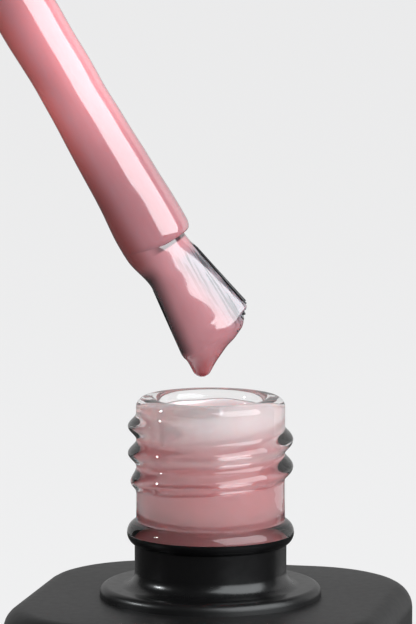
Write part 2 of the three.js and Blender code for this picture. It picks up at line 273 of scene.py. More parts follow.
def along(tree, where, place, axis):
    """One coordinate, in metres, of a point seen in the axes of the upright brush or bottle."""
    turned = add(tree, "ShaderNodeMapping", vector_type="POINT")
    back = place.inverted()
    turned.inputs["Rotation"].default_value = back.to_euler()
    turned.inputs["Location"].default_value = [x * MM for x in back.translation]
    tree.links.new(where, turned.inputs["Vector"])
    split = add(tree, "ShaderNodeSeparateXYZ")
    tree.links.new(turned.outputs["Vector"], split.inputs["Vector"])
    return split.outputs[axis]


# %% [markdown]
# The neck is clear flint glass. Real moulded glass is never quite even, so a very soft bump bends the
# highlights a little, as the mould's skin does.


# %% Clear glass
def clear_glass():
    material, tree, shader, where = new_material("clear_glass")
    shader.inputs["Base Color"].default_value = (0.98, 0.975, 0.975, 1)
    shader.inputs["IOR"].default_value = 1.5
    shader.inputs["Transmission Weight"].default_value = 1.0
    mottled(tree, shader, where, 900, 0.005, 0.03)
    bumped(tree, shader, noise_at(tree, where, 420, 1.5), 0.25, 0.00012)
    return material


# %% [markdown]
# The lacquer is sprayed on, so it lies in a fine orange peel: smooth and glossy on the small round forms of
# the neck, softer on the broad flat shoulder.


# %% Sprayed black lacquer
def black_lacquer():
    material, tree, shader, where = new_material("black_lacquer")
    height = along(tree, where, STANDING, "Z")
    softness = between(tree, height, (SHOULDER_Z - 0.4) * MM, (SHOULDER_Z + 1.4) * MM, 0.42, 0.2)
    grain = noise_at(tree, where, 1500, 4)
    varied = add(tree, "ShaderNodeMath", operation="MULTIPLY_ADD")
    tree.links.new(grain, varied.inputs[0])
    varied.inputs[1].default_value = 0.1
    tree.links.new(softness, varied.inputs[2])
    tree.links.new(varied.outputs[0], shader.inputs["Roughness"])
    tone = mixed(tree, noise_at(tree, where, 260), (0.0022, 0.0022, 0.0025), (0.004, 0.0038, 0.004))
    tree.links.new(tone, shader.inputs["Base Color"])
    shader.inputs["IOR"].default_value = 1.5
    bumped(tree, shader, noise_at(tree, where, 1100, 2), 0.12, 0.00006)
    return material


# %% [markdown]
# Gel polish is a thick resin full of fine pigment. Light goes a little way in and comes out warmer, which the
# subsurface part of the shader does, and the wet surface is a clear, very smooth coat.


# %% Gel polish
def gel_polish(name, colour, scatter=0.5, depth=0.0012):
    """Wet gel polish; colour(tree, where) gives the pigment's colour over the piece."""
    material, tree, shader, where = new_material(name)
    tree.links.new(colour(tree, where), shader.inputs["Base Color"])
    shader.inputs["Subsurface Weight"].default_value = scatter
    shader.inputs["Subsurface Radius"].default_value = (1.0, 0.35, 0.3)
    shader.inputs["Subsurface Scale"].default_value = depth
    shader.inputs["IOR"].default_value = 1.6
    shader.inputs["Coat Weight"].default_value = 1.0
    shader.inputs["Coat IOR"].default_value = 1.6
    shader.inputs["Coat Roughness"].default_value = 0.03
    mottled(tree, shader, where, 600, 0.1, 0.18)
    bumped(tree, shader, noise_at(tree, where, 330, 1.5), 0.12, 0.00004)
    return material


# Painted shade: the colour of the stem's left side, turned away from the softbox, near its foot.
SHADED_PINK = (0.29, 0.07, 0.07)


def shaded_side(tree, where):
    """1 along the low, left side of the leaning brush, where shade is painted, 0 over the rest."""
    return between(tree, along(tree, where, UPRIGHT_TO_HELD, "X"), -0.8 * MM, -2.4 * MM, 0.0, 1.0)


def stem_colour(tree, where):
    """Slow streaks along the stem, with painted shade that darkens it towards the foot; its left side, turned
    from the softbox, is painted bright red high up and in deeper painted shade at the foot.
    """
    down = along(tree, where, UPRIGHT_TO_HELD, "Z")
    streaks = noise_at(tree, where, 150, 2)
    above = mixed(tree, streaks, (0.70, 0.25, 0.28), (0.76, 0.30, 0.33))
    # The lower colour is painted shade, reached towards the stem's foot.
    below = mixed(tree, streaks, (0.40, 0.165, 0.185), (0.46, 0.205, 0.23))
    fallen = between(tree, down, (STEM_END + 17) * MM, (STEM_END + 4) * MM, 0.0, 1.0)
    # The left side, turned from the softbox: painted bright red high up, painted shade at the foot.
    deep = mixed(tree, fallen, (1.0, 0.22, 0.21), SHADED_PINK)
    return mixed(tree, shaded_side(tree, where), mixed(tree, fallen, above, below), deep)


# %% [markdown]
# ## The bottle's outer form
#
# The glass and its lacquer follow one form: a rounded-square body with a flat shoulder, a round boss and a
# neck with a rounded ring. The body is a block with bevelled edges, the neck is spun, and a bridge of faces
# joins the two across the flat shoulder.


# %% Neck profile and body
def neck_foot(inset):
    """The profile from the boss up over the ring to where the lacquer begins, drawn in by an inset."""
    return [
        (BOSS_R - inset, SHOULDER_Z - inset),
        *arc(BOSS_R - BOSS_EDGE_R - inset, SHOULDER_Z + 0.3 - inset, BOSS_EDGE_R, 0, 85, 10),
        *arc(NECK_FOOT_R - inset + FLARE_R, SHOULDER_Z + 0.8 - inset + FLARE_R, FLARE_R, 265, 180, 14),
        *arc(BEAD_R - BEAD_ROUND - inset, BEAD_Z, BEAD_ROUND, -66, COAT_ANGLE, 18),
    ]


def joined_to_block(bm, flat, rim):
    """Takes one flat face of a block away and bridges its edge to a round rim."""
    edge = list(flat.edges)
    bmesh.ops.delete(bm, geom=[flat], context="FACES_ONLY")
    bmesh.ops.bridge_loops(bm, edges=edge + rim)


def merged_in(bm, other):
    """Adds another bmesh's geometry to this one."""
    spare = bpy.data.meshes.new("spare")
    other.to_mesh(spare)
    other.free()
    bm.from_mesh(spare)
    bpy.data.meshes.remove(spare)


def rim_at(bm, height, radius):
    """The border loop that lies at a height and a radius."""
    def fits(loop):
        v = loop[0].verts[0].co
        return abs(v.z - height) < 1e-4 and abs(math.hypot(v.x, v.y) - radius) < 1e-3

    return next(loop for loop in open_rims(bm) if fits(loop))


# %% [markdown]
# ## The glass bottle
#
# The neck's profile runs up the outside, over the fire-polished lip and down the bore, so that outside and
# inside are one closed skin. The thread is raised on that skin: each point near the helix moves outwards by
# a rounded ridge, and the ridge fades over its last part of a turn at each end, as a moulded thread does.
# Under the base, a shallow round seat is cut for the label, so that the bottle stands on glass.


# %% Raise the thread
def thread_height(angle, z):
    """How far the ridge stands out at an angle in degrees and a height."""
    from_top = (THREAD_TOP_ANGLE - angle) % 360
    best = 0.0
    for turn in range(math.ceil(THREAD_TURNS)):
        run = from_top + 360 * turn
        off = abs(z - (THREAD_TOP - PITCH * run / 360)) / RIDGE_HALF_WIDTH
        if off < 1:
            fade = ease(run / RUN_OUT) * ease((THREAD_TURNS * 360 - run) / RUN_OUT)
            best = max(best, fade * RIDGE_HEIGHT * math.cos(off * math.pi / 2) ** RIDGE_POWER)
    return best


def raise_thread(bm):
    for v in bm.verts:
        r = math.hypot(v.co.x, v.co.y)
        if abs(r - NECK_R) > 1e-3 or not BEAD_Z + 1.2 < v.co.z < LIP_Z - 0.3:
            continue
        grown = 1 + thread_height(math.degrees(math.atan2(v.co.y, v.co.x)), v.co.z) / r
        v.co.x *= grown
        v.co.y *= grown


# %% Sink the seat for the label
SEAT_R, SEAT_DEPTH = 10.3, 0.55


def sink_label_seat(bm):
    """Cuts a shallow round recess up into the flat under the base."""
    broad = [f for f in bm.faces if f.calc_area() > 100]
    under = min(broad, key=lambda f: f.calc_center_median().z)
    seat = bmesh.ops.create_circle(bm, cap_ends=False, segments=96, radius=SEAT_R)
    rim = list({e for v in seat["verts"] for e in v.link_edges})
    joined_to_block(bm, under, rim)
    wall = bmesh.ops.extrude_edge_only(bm, edges=rim)
    raised = [g for g in wall["geom"] if isinstance(g, bmesh.types.BMVert)]
    bmesh.ops.translate(bm, vec=(0, 0, SEAT_DEPTH), verts=raised)
    roof = [g for g in wall["geom"] if isinstance(g, bmesh.types.BMEdge) and g.is_boundary]
    bmesh.ops.edgeloop_fill(bm, edges=roof)


# %% Model the glass bottle
def glass_bottle(material):
    inset = 0.05
    outside = neck_foot(inset)[:-1] + arc(BEAD_R - BEAD_ROUND, BEAD_Z, BEAD_ROUND, COAT_ANGLE, 73, 12)
    straight = finely([(NECK_R, BEAD_Z + 1.06), (NECK_R, LIP_Z - LIP_OUTER_R)], 0.055)
    lip = arc(NECK_R - LIP_OUTER_R, LIP_Z - LIP_OUTER_R, LIP_OUTER_R, 0, 90, 14)
    lip += arc(BORE_R + LIP_INNER_R, LIP_Z - LIP_INNER_R, LIP_INNER_R, 90, 180, 12)
    bore = [(BORE_R, LIP_Z - 3), (BORE_R, CAVITY_TOP + CAVITY_ROUND)]
    bore += arc(BORE_R + CAVITY_ROUND, CAVITY_TOP + CAVITY_ROUND, CAVITY_ROUND, 180, 262, 10)
    bore.append((BORE_R + CAVITY_ROUND, CAVITY_TOP))
    bm = spun(outside + straight + lip + bore, 192)
    raise_thread(bm)
    corner = BODY_CORNER_R - inset
    top = rounded_block(bm, BODY_HALF - inset, corner, BODY_EDGE_R, 0, SHOULDER_Z - inset)
    joined_to_block(bm, top, rim_at(bm, SHOULDER_Z - inset, BOSS_R - inset))
    inner = bmesh.new()
    rounded_block(inner, BODY_HALF - WALL, BODY_CORNER_R - WALL, CAVITY_EDGE_R, FLOOR_Z, CAVITY_TOP)
    merged_in(bm, inner)
    flat = [f for f in bm.faces if all(abs(v.co.z - CAVITY_TOP) < 1e-5 for v in f.verts)]
    top = max(flat, key=lambda f: f.calc_area())
    joined_to_block(bm, top, rim_at(bm, CAVITY_TOP, BORE_R + CAVITY_ROUND))
    sink_label_seat(bm)
    finished("glass_bottle_clear", bm, STANDING, material, "bottle", ["glass_bottle"], 50)


glass_bottle(clear_glass())

# %% [markdown]
# ## The lacquer
#
# The coat is a thin closed skin over the same form. It begins on the ring below the thread and stops just
# above the base. Its inner side lies a few hundredths of a millimetre inside the glass, because lacquer is
# bonded to the glass with no air between, and a gap there would shine like a mirror.


# %% Model the lacquer
def lacquer_coat(material):
    """An outer and an inner skin, joined along the top on the ring and along the foot."""
    foot = (0, 0, 0.4)
    bm = bmesh.new()
    for inset in (0.0, 0.12):
        skin = spun(neck_foot(inset), 192)
        corner = BODY_CORNER_R - inset
        top = rounded_block(skin, BODY_HALF - inset, corner, BODY_EDGE_R, 0, SHOULDER_Z - inset)
        joined_to_block(skin, top, rim_at(skin, SHOULDER_Z - inset, BOSS_R - inset))
        geom = skin.verts[:] + skin.edges[:] + skin.faces[:]
        bmesh.ops.bisect_plane(skin, geom=geom, plane_co=foot, plane_no=(0, 0, 1), clear_inner=True)
        bmesh.ops.recalc_face_normals(skin, faces=skin.faces)
        merged_in(bm, skin)
    rims = open_rims(bm)
    bmesh.ops.bridge_loops(bm, edges=rims[0] + rims[1])
    bmesh.ops.bridge_loops(bm, edges=rims[2] + rims[3])
    finished("lacquer_coat_black", bm, STANDING, material, "bottle", ["lacquer_coat"], 50)


lacquer_coat(black_lacquer())

# %% [markdown]
# ## The polish in the bottle
#
# The liquid touches the glass with no air between, so its skin reaches a hair into the wall. Its surface
# stands in the lower neck and climbs the wall a little. A thin, uneven film clings to the whole bore, from
# below that surface up to the lip, as it does each time the brush is drawn out. It is thick low down and thin
# towards the mouth, and the colour pales with it.


# %% Model the polish and its film
FILM_FOOT = CAVITY_TOP + 3


def polish_fill(material):
    grown, level = 0.04, POLISH_LEVEL
    surface = [(BORE_R + grown, level + 0.45), (BORE_R - 0.12, level + 0.3), (BORE_R - 0.45, level + 0.1)]
    surface += [(BORE_R - 1.0, level), (0, level)]
    rim = BORE_R + CAVITY_ROUND
    foot = [(rim, CAVITY_TOP + grown)]
    foot += arc(rim, CAVITY_TOP + CAVITY_ROUND + grown, CAVITY_ROUND - grown, 262, 180, 10)
    bm = spun(foot + [(BORE_R + grown, FILM_FOOT)] + surface, 96)
    half, corner = BODY_HALF - WALL + grown, BODY_CORNER_R - WALL + grown
    top = rounded_block(bm, half, corner, CAVITY_EDGE_R, FLOOR_Z - grown, CAVITY_TOP + grown)
    joined_to_block(bm, top, rim_at(bm, CAVITY_TOP + grown, rim))
    finished("polish_in_bottle", bm, STANDING, material, "bottle", ["polish_fill"])


def film_edge(angle):
    """How far below the lip the film ends, in mm, at an angle in radians."""
    return 0.72 + 0.05 * math.sin(3 * angle + 0.7) + 0.03 * math.sin(7 * angle)


def neck_film(material):
    low, high = FILM_FOOT, LIP_Z - LIP_INNER_R
    grown, thin, thick = 0.06, 0.1, 0.32
    outer = finely([(BORE_R + grown, low), (BORE_R + grown, high)], 0.25)
    inner = finely([(BORE_R - thin, high - 0.1), (BORE_R - thick, low)], 0.25)
    bm = spun(outer + inner, 96, loop=True)
    for v in bm.verts:
        angle = math.atan2(v.co.y, v.co.x)
        share = (v.co.z - low) / (high - low)
        v.co.z = low + share * (LIP_Z - film_edge(angle) - low)
        r = math.hypot(v.co.x, v.co.y)
        if r < BORE_R:
            runs = 0.07 * noise.noise(Vector((v.co.x * 0.9, v.co.y * 0.9, v.co.z * 0.35)))
            v.co.x *= (r + runs) / r
            v.co.y *= (r + runs) / r
    finished("film_in_neck", bm, STANDING, material, "bottle", ["neck_film"])


def colour_in_bottle(tree, where):
    """Deeper low down, paler high up, with slow runs."""
    height = along(tree, where, STANDING, "Z")
    rise = between(tree, height, (LIP_Z - 6.0) * MM, (LIP_Z - 1.0) * MM, 0.0, 1.0)
    base = mixed(tree, noise_at(tree, where, 170, 2), (0.66, 0.26, 0.275), (0.74, 0.32, 0.335))
    return mixed(tree, rise, base, (0.86, 0.70, 0.71))


in_bottle = gel_polish("polish_in_bottle", colour_in_bottle, 0.5, 0.0008)
polish_fill(in_bottle)
neck_film(in_bottle)

# %% [markdown]
# ## Cap, liner and stem
#
# The cap and the inner parts are turned plastic mouldings. The inner cap carries the same thread as the neck,
# half a pitch away, and fine grip ribs that hold it in the outer cap. The stem is a plain rod with a socket
# for the tuft.


# %% Moulded plastics
def moulded(name, colour, rough, grain_scale, depth):
    """Moulded plastic: a fine even grain with slightly mottled gloss."""
    material, tree, shader, where = new_material(name)
    darker = tuple(c * 0.75 for c in colour)
    tree.links.new(mixed(tree, noise_at(tree, where, 210), darker, colour), shader.inputs["Base Color"])
    grain = noise_at(tree, where, grain_scale, 4)
    tree.links.new(between(tree, grain, 0.25, 0.75, rough * 0.85, rough * 1.15), shader.inputs["Roughness"])
    bumped(tree, shader, grain, 0.35, depth)
    return material


def outer_cap():
    rim_r, top_r, inner_r, upper_r = 8.9, 8.4, 8.1, 7.4
    foot, ledge, roof, top = -14.0, 6.3, 23.6, 26.0
    soft, crown = 0.2, 1.6
    wall = finely([(rim_r, foot + 0.35), (top_r, top - crown)], 3)
    profile = [
        (inner_r, foot + 0.3), *arc(inner_r + 0.22, foot + soft, soft, 180, 270, 4),
        *arc(rim_r - soft, foot + soft, soft, 270, 360, 4),
        *wall, *arc(top_r - crown, top - crown, crown, 0, 90, 12), (4, top), (0, top),
        (0, roof), *arc(upper_r - 0.5, roof - 0.5, 0.5, 90, 0, 4), (upper_r, ledge + 0.1), (inner_r, ledge),
    ]
    bm = spun(profile, 160)
    rims = open_rims(bm)
    bmesh.ops.bridge_loops(bm, edges=[e for loop in rims for e in loop])
    skin = moulded("cap_satin_black", (0.014, 0.014, 0.0145), 0.36, 2600, 0.00002)
    finished("outer_cap_satin", bm, UPRIGHT_TO_HELD, skin, "cap_and_brush", ["outer_cap"], 40)


CAP_RIDGE_TURNS, CAP_RIDGE_LOW, TURNS_TO_OPEN = 1.75, -6.75, 2.5
CAP_RIDGE_HALF_WIDTH, CAP_RIDGE_HEIGHT, CAP_RUN_OUT = 0.6, 0.68, 40
CAP_BORE_R, CAP_GRIP_R, CAP_RIBS, RIB_DEPTH = 6.75, 7.8, 36, 0.1


def cap_ridge_height(angle, z):
    """The inner ridge, which is half a pitch from the neck's once the cap is turned tight."""
    top = CAP_RIDGE_LOW + CAP_RIDGE_TURNS * PITCH
    fallen = (THREAD_TOP - LIP_Z) - PITCH / 2 - top
    top_angle = THREAD_TOP_ANGLE - math.degrees(BRUSH_YAW) - fallen / PITCH * 360 + TURNS_TO_OPEN * 360
    from_top = (top_angle - angle) % 360
    for turn in range(math.ceil(CAP_RIDGE_TURNS)):
        run = from_top + 360 * turn
        off = abs(z - (top - PITCH * run / 360)) / CAP_RIDGE_HALF_WIDTH
        if off < 1:
            fade = ease(run / CAP_RUN_OUT) * ease((CAP_RIDGE_TURNS * 360 - run) / CAP_RUN_OUT)
            return fade * CAP_RIDGE_HEIGHT * math.cos(off * math.pi / 2)
    return 0.0


def inner_cap():
    seat, pocket, low, high, soft = 0.95, 4.9, -9.1, 5.6, 0.2
    bore = finely([(CAP_BORE_R, seat), (CAP_BORE_R, low + soft)], 0.12)
    outer = finely([(CAP_GRIP_R, low), (CAP_GRIP_R, high)], 1.5)
    profile = [
        (0, pocket), (2.8, pocket), (2.8, seat), *bore, *arc(CAP_BORE_R + soft, low, soft, 180, 270, 4),
        *arc(CAP_GRIP_R - soft, low, soft, 270, 360, 4), *outer,
        *arc(CAP_GRIP_R - 0.4, high, 0.4, 0, 90, 5), (0, high + 0.4),
    ]
    bm = spun(profile, 144)
    for v in bm.verts:
        r, angle = math.hypot(v.co.x, v.co.y), math.degrees(math.atan2(v.co.y, v.co.x))
        if abs(r - CAP_BORE_R) < 1e-3:
            shrunk = 1 - cap_ridge_height(angle, v.co.z) / r
        elif r > CAP_GRIP_R - 0.01 and low + soft < v.co.z < high - 0.1:
            shrunk = 1 - RIB_DEPTH * (0.5 + 0.5 * math.cos(math.radians(angle) * CAP_RIBS)) / r
        else:
            continue
        v.co.x *= shrunk
        v.co.y *= shrunk
    skin = moulded("inner_cap_plastic", (0.03, 0.03, 0.032), 0.45, 1800, 0.00002)
    finished(
        "inner_cap_threaded", bm, UPRIGHT_TO_HELD, skin, "cap_and_brush", ["inner_cap"], 40
    )


def seal_liner():
    hole, rim, low, high = 2.2, 6.4, 0.05, 0.65
    groove, soft = 0.25, 0.12
    profile = [
        (hole, low), (4.6, low), *arc(5.0, low, groove, 180, 90, 4)[1:], (5.9, low + groove), (6.1, low),
        *arc(rim - soft, low + soft, soft, 270, 360, 3), *arc(rim - soft, high - soft, soft, 0, 90, 3),
        (hole, high),
    ]
    bm = spun(profile, 128, loop=True)
    skin = moulded("liner_white", (0.78, 0.76, 0.73), 0.5, 1400, 0.00003)
    finished("seal_liner_disc", bm, UPRIGHT_TO_HELD, skin, "seal", ["seal_liner"], 40)


def brush_stem():
    head_r, neck, top, socket = 2.5, 0.95, 4.6, STEM_END + 15
    soft, fillet, edge = 0.4, 0.3, 0.2
    profile = [
        (0, top), *arc(head_r - soft, top - soft, soft, 90, 0, 5), (head_r, neck + 0.1), (head_r - 0.1, neck),
        *arc(STEM_R + fillet, neck - fillet, fillet, 90, 180, 5),
        *finely([(STEM_R, fillet), (STEM_R, STEM_END + edge)], 2),
        *arc(STEM_R - edge, STEM_END + edge, edge, 0, -90, 5),
        (STEM_BORE_R, STEM_END), (STEM_BORE_R, socket - 0.4), (0, socket),
    ]
    bm = spun(profile, 64)
    skin = moulded("stem_black", (0.012, 0.011, 0.012), 0.25, 900, 0.00002)
    finished("brush_stem_rod", bm, UPRIGHT_TO_HELD, skin, "cap_and_brush", ["brush_stem"], 40)


outer_cap()
inner_cap()
seal_liner()
brush_stem()

# %% [markdown]
# ## Staple and label
#
# The filaments are folded over a small bent wire and pulled into the socket with it. The wire is a circle
# swept round half a turn, which makes a small U. The blank label is a thin disc with a softened edge.


# %% Model the staple and the label
def tuft_staple():
    material, tree, shader, where = new_material("drawn_brass")
    shader.inputs["Metallic"].default_value = 1.0
    tone = mixed(tree, noise_at(tree, where, 700), (0.70, 0.50, 0.22), (0.82, 0.63, 0.33))
    tree.links.new(tone, shader.inputs["Base Color"])
    mottled(tree, shader, where, 3000, 0.18, 0.34)
    wire_r, bend_r, seat = 0.24, 0.5, 4.32
    bm = bmesh.new()
    bmesh.ops.create_circle(bm, cap_ends=False, segments=16, radius=wire_r)
    bmesh.ops.translate(bm, vec=(bend_r, 0, 0), verts=bm.verts)
    bmesh.ops.spin(
        bm, geom=bm.verts[:] + bm.edges[:], cent=(0, 0, 0), axis=(0, -1, 0), dvec=(0, 0, 0),
        angle=math.pi, steps=24, use_merge=False, use_duplicate=False,
    )
    for rim in open_rims(bm):
        bmesh.ops.edgeloop_fill(bm, edges=rim)
    bmesh.ops.translate(bm, vec=(0, 0, STEM_END + seat), verts=bm.verts)
    finished(
        "tuft_staple_wire", bm, UPRIGHT_TO_HELD, material, "brush_carriage",
        ["tuft_staple"], 50,
    )


def base_label():
    material, tree, shader, where = new_material("label_paper")
    fibre = noise_at(tree, where, 2200, 6)
    tree.links.new(mixed(tree, fibre, (0.74, 0.73, 0.71), (0.84, 0.83, 0.81)), shader.inputs["Base Color"])
    tree.links.new(between(tree, fibre, 0.3, 0.7, 0.55, 0.7), shader.inputs["Roughness"])
    bumped(tree, shader, fibre, 0.4, 0.00002)
    flat_r, thick, soft = 9.9, 0.5, 0.1
    edge = arc(flat_r, soft, soft, 270, 360, 3) + arc(flat_r, thick - soft, soft, 0, 90, 3)
    bm = spun([(0, 0), *edge, (0, thick)], 128)
    finished("base_label_blank", bm, STANDING, material, "bottle", ["base_label"], 40)


tuft_staple()
base_label()

# %% [markdown]
# ## The bristles
#
# The tuft is some three hundred and thirty nylon filaments that leave the round socket together and spread
# into a flat fan. Each is a thin curve with a round section: it starts at its place in the socket, bows a
# little and ends near the cut, longer or shorter than the next. A dozen of them stand along the fan's right
# edge, where the polish is thin and they show.


# %% Model the filaments
FILAMENTS, EDGE_FILAMENTS, FILAMENT_R = 320, 12, 0.055
ROOT_HALF_DEPTH, FAN_HALF_DEPTH, ROOT_DEPTH, FILAMENT_STEPS = 1.3, 0.95, 1.5, 11


def fan_edge(below, side):
    """How far the outermost filament stands from the axis, to the right (side 1) or the left (side -1)."""
    flare = 0.55 * ease(below / 1.2)
    return STEM_BORE_R - 0.1 + flare + (0.21 if side > 0 else 0.115) * max(0.0, below)


def cut_at(u):
    """How far below the stem's end a filament is cut: the cut is rounded, and higher on the right."""
    return TUFT_LENGTH + 0.8 - (2.0 * u**2.2 if u > 0 else 0.9 * u * u)


def filament_path(u, v, length, bow):
    """Points of one filament, for its place (u, v) in a unit disc."""
    path = []
    for i in range(FILAMENT_STEPS + 1):
        below = -ROOT_DEPTH + (length + ROOT_DEPTH) * i / FILAMENT_STEPS
        x = u * fan_edge(below, u)
        y = v * (ROOT_HALF_DEPTH + (FAN_HALF_DEPTH - ROOT_HALF_DEPTH) * ease(below / 4))
        bend = bow * math.sin(math.pi * i / FILAMENT_STEPS)
        path.append(Vector((x + bend, y + 0.4 * bend, STEM_END - below)))
    return path


def as_bmesh(holder):
    """The finished shape of an object, modifiers and all, as a bmesh; the object itself goes."""
    bpy.context.scene.collection.objects.link(holder)
    shape = bpy.data.meshes.new_from_object(holder.evaluated_get(bpy.context.evaluated_depsgraph_get()))
    bpy.data.objects.remove(holder)
    bm = bmesh.new()
    bm.from_mesh(shape)
    return bm


def bristle_tuft():
    rng = random.Random(7)
    curve = bpy.data.curves.new("filaments", "CURVE")
    curve.dimensions, curve.bevel_depth, curve.bevel_resolution = "3D", FILAMENT_R, 1
    curve.use_fill_caps = True
    golden = math.pi * (3 - math.sqrt(5))
    spots = [(math.sqrt((k + 0.5) / FILAMENTS), k * golden) for k in range(FILAMENTS)]
    places = [(radius * math.cos(angle), radius * math.sin(angle)) for radius, angle in spots]
    places += [(1.0, -0.35 + 0.06 * k) for k in range(EDGE_FILAMENTS)]
    for across, deep in places:
        u = across + rng.uniform(-0.02, 0.02)
        v = deep + rng.uniform(-0.03, 0.03)
        length = cut_at(u) + rng.uniform(-0.24, 0.12)
        path = filament_path(u, v, length, rng.uniform(-0.06, 0.06))
        spline = curve.splines.new("POLY")
        spline.points.add(len(path) - 1)
        for point, at in zip(spline.points, path):
            point.co = (*at, 1)
    bm = as_bmesh(bpy.data.objects.new("filaments", curve))
    bmesh.ops.remove_doubles(bm, verts=bm.verts, dist=1e-5)
    material, tree, shader, where = new_material("black_nylon")
    tone = mixed(tree, noise_at(tree, where, 1200), (0.006, 0.006, 0.007), (0.03, 0.027, 0.029))
    tree.links.new(tone, shader.inputs["Base Color"])
    mottled(tree, shader, where, 2500, 0.22, 0.4)
    finished(
        "bristle_filaments", bm, UPRIGHT_TO_HELD, material, "cap_and_brush",
        ["bristle_tuft"], 60,
    )


bristle_tuft()

# %% [markdown]
# ## Polish on the stem
#
# The polish clings to the rod in a thick, even sleeve that grows slightly towards the brush, with slow waves
# where it is starting to run. It ends in a rounded shoulder just above the tuft.


# %% Model the sleeve of polish
def sleeve_r(z):
    """The sleeve's radius at a height on the stem."""
    return 2.48 + 0.3 * ease((-25 - z) / 12)


def sag(z):
    """What the low side of the leaning sleeve has more, or less, than the rest."""
    return 0.13 * ease((-33.5 - z) / 3) - 0.13 * math.exp(-(((z + 23.5) / 2.8) ** 2))


def swell(angle, z):
    """A run that has gathered near the foot of the sleeve, at the front and to the right."""
    return 0.1 * math.exp(-(((angle + 50) / 22) ** 2)) * ease((-32.2 - z) / 2)


def stem_polish(material):
    top, foot = -9.7, STEM_END + 0.02
    widest = top - 1.2
    heel_in, heel_up = 0.35, 0.8
    outside = [(sleeve_r(z), z) for _, z in finely([(0, widest), (0, foot + heel_up)], 0.25)]
    shoulder = [(STEM_R + 0.02 + 0.53 * r, z) for r, z in arc(0, widest, 1.0, 90, 0, 8)]
    heel_r = sleeve_r(foot) - heel_in
    heel = [(heel_r + heel_in * r, foot + heel_up * (1 + z)) for r, z in arc(0, 0, 1.0, 0, -90, 12)]
    inner = [(STEM_R - 0.05, foot), (STEM_R - 0.05, top)]
    bm = spun(shoulder + outside + heel + inner, 96, loop=True)
    for v in bm.verts:
        r = math.hypot(v.co.x, v.co.y)
        if r > STEM_R + 0.2 and v.co.z < top - 1:
            wave = 0.07 * noise.noise(Vector((v.co.x * 0.16, v.co.y * 0.16, v.co.z * 0.32)))
            wave += swell(math.degrees(math.atan2(v.co.y, v.co.x)), v.co.z)
            grown = 1 + (wave + max(0.0, -v.co.x / r) * sag(v.co.z)) / r
            v.co.x *= grown
            v.co.y *= grown
    finished("polish_on_stem", bm, UPRIGHT_TO_HELD, material, "cap_and_brush", ["stem_polish"])


stem_polish(gel_polish("polish_on_stem", stem_colour))

# %% [markdown]
# ## Polish on the tuft
#
# The load on the brush is one body of liquid: a fan that wraps the filaments, and a drop that gathers at the
# low corner and hangs straight down. The two overlapping shapes are fused by a voxel remesh, and a few rounds
# of smoothing then pull the join into the soft hollow that surface tension makes.


# %% Model the load and its drip
LOAD_TOP, DRIP_AT = 2.2, (-2.42, -10.62)


def lofted(low, high, rings, section):
    """A unit cylinder with each ring moved, widened and raised on the right, as section(z) says."""
    wall = [(1, low + (high - low) * i / rings) for i in range(rings + 1)]
    bm = spun([(0, low), *wall, (0, high)], 64)
    for v in bm.verts:
        left, right, depth, narrowing, rise = section(v.co.z)
        across = v.co.x * (right - left) / 2
        raised = rise * max(across, 0.2 * across)
        v.co = ((left + right) / 2 + across, v.co.y * depth * (1 - narrowing * v.co.x), v.co.z + raised)
    return bm


def load_section(z):
    """The load's ring at a height: left edge, right edge, half-depth, narrowing to the right, rise."""
    below = STEM_END - z
    waist = ease((below + 0.4) / 3)
    left = -(sleeve_r(STEM_END) + 0.11) * (1 - waist) - 2.28 * waist
    left -= 0.56 * ease((below - 3) / 5.2) + 0.03 * max(0.0, below - 6)
    right = 2.05 + 0.16 * ease(below / 1.5) + 0.17 * max(0.0, below - 1)
    depth = 2.62 - 0.6 * ease((below + 0.3) / 4.5) - 0.4 * ease((below - 4) / 4.5)
    return left, right, depth, 0.25 * ease(below / 2), 0.28 * ease(below / TUFT_LENGTH)


def drip():
    """The drop: a round tip that widens upwards and draws over towards the middle of the cut."""
    profile = [
        (0, 0), *arc(0, 0.8, 0.8, -75, -15, 6), (1.17, 1.3), (1.58, 1.9), (1.93, 2.5), (2.3, 3.1),
        (2.6, 4.0), (2.5, 4.7), (1.9, 5.4), (0, 5.9),
    ]
    drop = spun(profile, 48)
    for v in drop.verts:
        v.co.y *= max(0.6, 1 - 0.08 * v.co.z)
        v.co.x += 0.35 * max(0.0, v.co.z - 2.3)
    hang = Matrix.Translation((DRIP_AT[0], 0, STEM_END + DRIP_AT[1])) @ Matrix.Rotation(BRUSH_TILT, 4, "Y")
    bmesh.ops.transform(drop, matrix=hang, verts=drop.verts)
    return drop


def fused(bm, voxel, rounds):
    """Overlapping shapes made one skin by a voxel remesh, with the joins smoothed into soft hollows."""
    rough = bpy.data.meshes.new("rough")
    bm.to_mesh(rough)
    bm.free()
    holder = bpy.data.objects.new("rough", rough)
    remesh = holder.modifiers.new("fuse", "REMESH")
    remesh.mode, remesh.voxel_size = "VOXEL", voxel
    bm = as_bmesh(holder)
    every_way = dict(use_axis_x=True, use_axis_y=True, use_axis_z=True)
    for _ in range(rounds):
        bmesh.ops.smooth_vert(bm, verts=bm.verts, factor=0.5, **every_way)
    return bm


def tuft_polish(material):
    bm = lofted(STEM_END - TUFT_LENGTH - 0.1, STEM_END + LOAD_TOP, 24, load_section)
    merged_in(bm, drip())
    bmesh.ops.recalc_face_normals(bm, faces=bm.faces)
    bm = fused(bm, voxel=0.09, rounds=14)
    finished("polish_on_tuft", bm, UPRIGHT_TO_HELD, material, "cap_and_brush", ["tuft_polish"])


def summed(tree, first, second, factor):
    """first + second x factor."""
    node = add(tree, "ShaderNodeMath", operation="MULTIPLY_ADD")
    tree.links.new(second, node.inputs[0])
    node.inputs[1].default_value = factor
    tree.links.new(first, node.inputs[2])
    return node.outputs[0]


def product(tree, first, second):
    """first x second."""
    node = add(tree, "ShaderNodeMath", operation="MULTIPLY")
    tree.links.new(first, node.inputs[0])
    tree.links.new(second, node.inputs[1])
    return node.outputs[0]


